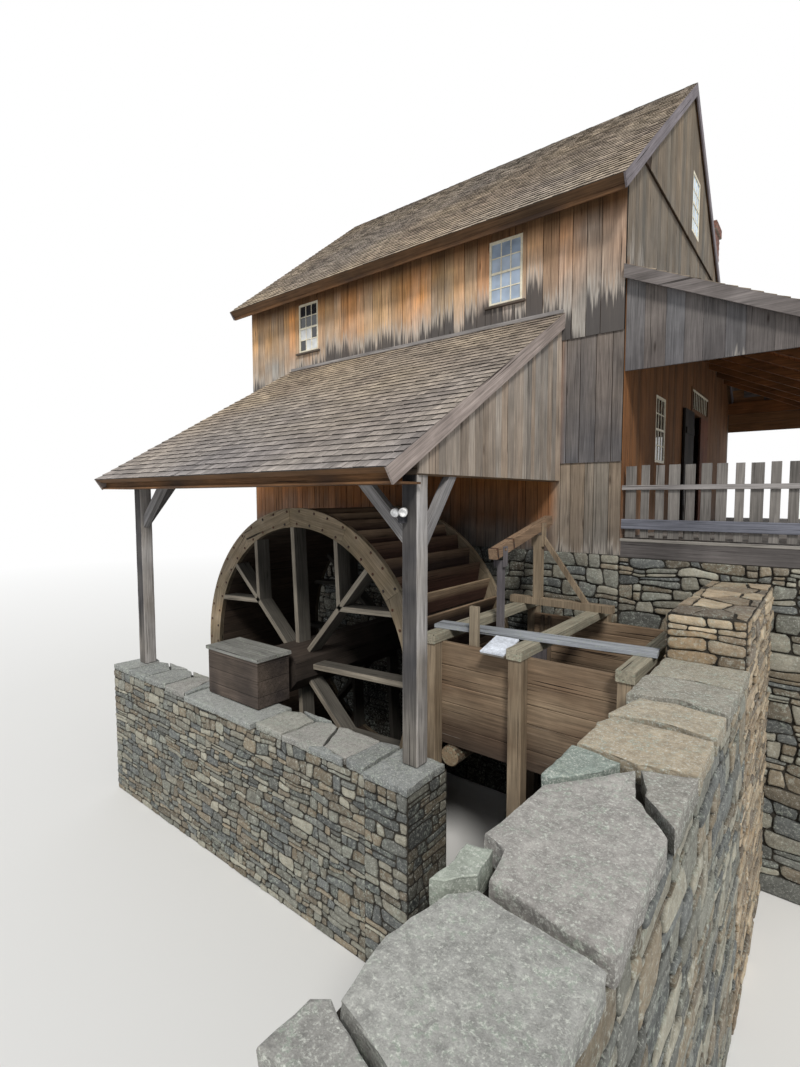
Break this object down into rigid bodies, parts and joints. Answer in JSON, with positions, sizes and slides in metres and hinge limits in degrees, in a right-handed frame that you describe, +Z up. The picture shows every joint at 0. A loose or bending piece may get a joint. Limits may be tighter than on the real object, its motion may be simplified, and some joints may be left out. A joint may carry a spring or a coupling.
{
  "type": "timber watermill",
  "caption": "Timber watermill with a breast wheel under a lean-to shed, a plank flume with a lever gate, a saltbox roof and a side porch on rubble foundations.",
  "frame": {"origin": "near right corner of the mill, where the long wall and the gable end meet, on the plane of the wheel pit floor", "axes": "+X along the long wall to the right, +Y into the building from the wheel side, +Z up"},
  "size_m": [11.29, 17.021, 12.4191],
  "materials": {
    "fieldstone": "matte",
    "cap_stone": "matte",
    "shingles": "matte",
    "cream_paint": "satin",
    "window_glass": "gloss",
    "brick": "matte",
    "grey_timber": "matte",
    "wet_timber": "matte",
    "wheel_timber": "matte",
    "brown_timber": "matte",
    "door_timber": "matte",
    "weathered_boards": "matte"
  },
  "bodies": {
    "mill": {"foundation": "fieldstone", "porch_foundation": "fieldstone", "pit_wall": "fieldstone", "pit_caps": "cap_stone", "bank_wall": "fieldstone", "bank_slabs": "cap_stone", "front_wall": "weathered_boards", "gable_near": "weathered_boards", "gable_over": "weathered_boards", "gable_far": "weathered_boards", "gable_upper": "weathered_boards", "left_gable": "weathered_boards", "rear_wall": "weathered_boards", "floors": "brown_timber", "roof_front": "shingles", "roof_rear": "shingles", "barge_boards": "weathered_boards", "eave_fascia": "weathered_boards", "sashes": "cream_paint", "glass": "window_glass", "chimney": "brick", "door_frame": "door_timber", "transom_bars": "cream_paint", "porch_deck": "grey_timber", "porch_roof": "shingles", "porch_boarding": "weathered_boards", "porch_posts": "brown_timber", "porch_plate": "brown_timber", "porch_rafters": "brown_timber", "porch_fence": "grey_timber", "shed_roof": "shingles", "shed_posts": "grey_timber", "shed_plate": "grey_timber", "shed_ties": "grey_timber", "shed_braces": "grey_timber", "shed_rafters": "brown_timber", "shed_boarding": "weathered_boards", "bearing_box": "wheel_timber", "bearings": "wheel_timber", "flume_walls": "wet_timber", "flume_posts": "wet_timber", "flume_beams": "grey_timber", "walk_plank": "grey_timber", "gate_guides": "wet_timber", "gate_post": "brown_timber"},
    "wheel": {"wheel_axle": "wheel_timber", "wheel_arms": "wheel_timber", "wheel_forks": "wheel_timber", "wheel_rims": "wheel_timber", "wheel_sole": "wheel_timber", "wheel_buckets": "wheel_timber"},
    "near_leaf": {"door_near": "door_timber"},
    "far_leaf": {"door_far": "door_timber"},
    "gate": {"gate": "wet_timber"},
    "lever": {"gate_lever": "brown_timber"}
  },
  "joints": [
    {"name": "wheel_spin", "type": "hinge", "parent": "mill", "child": "wheel", "pos_m": [-3.778, -1.52, 2.47], "axis": [0, 1, 0], "continuous": true},
    {"name": "near_leaf_hinge", "type": "hinge", "parent": "mill", "child": "near_leaf", "pos_m": [0.04, 4.545, 5.5], "axis": [0, 0, 1], "range_deg": [0, 180]},
    {"name": "far_leaf_hinge", "type": "hinge", "parent": "mill", "child": "far_leaf", "pos_m": [0.04, 6.24, 5.5], "axis": [0, 0, 1], "range_deg": [0, 180]},
    {"name": "gate_slide", "type": "slide", "parent": "mill", "child": "gate", "axis": [0, 0, 1], "range_m": [0, 0.2]},
    {"name": "lever_tilt", "type": "hinge", "parent": "mill", "child": "lever", "pos_m": [-0.9, -0.7, 4.528], "axis": [-1, 0, 0], "range_deg": [0, 10.6]}
  ],
  "couplings": [
    {"joint": "lever_tilt", "follows": "gate_slide", "rad_per_m": 0.885}
  ]
}
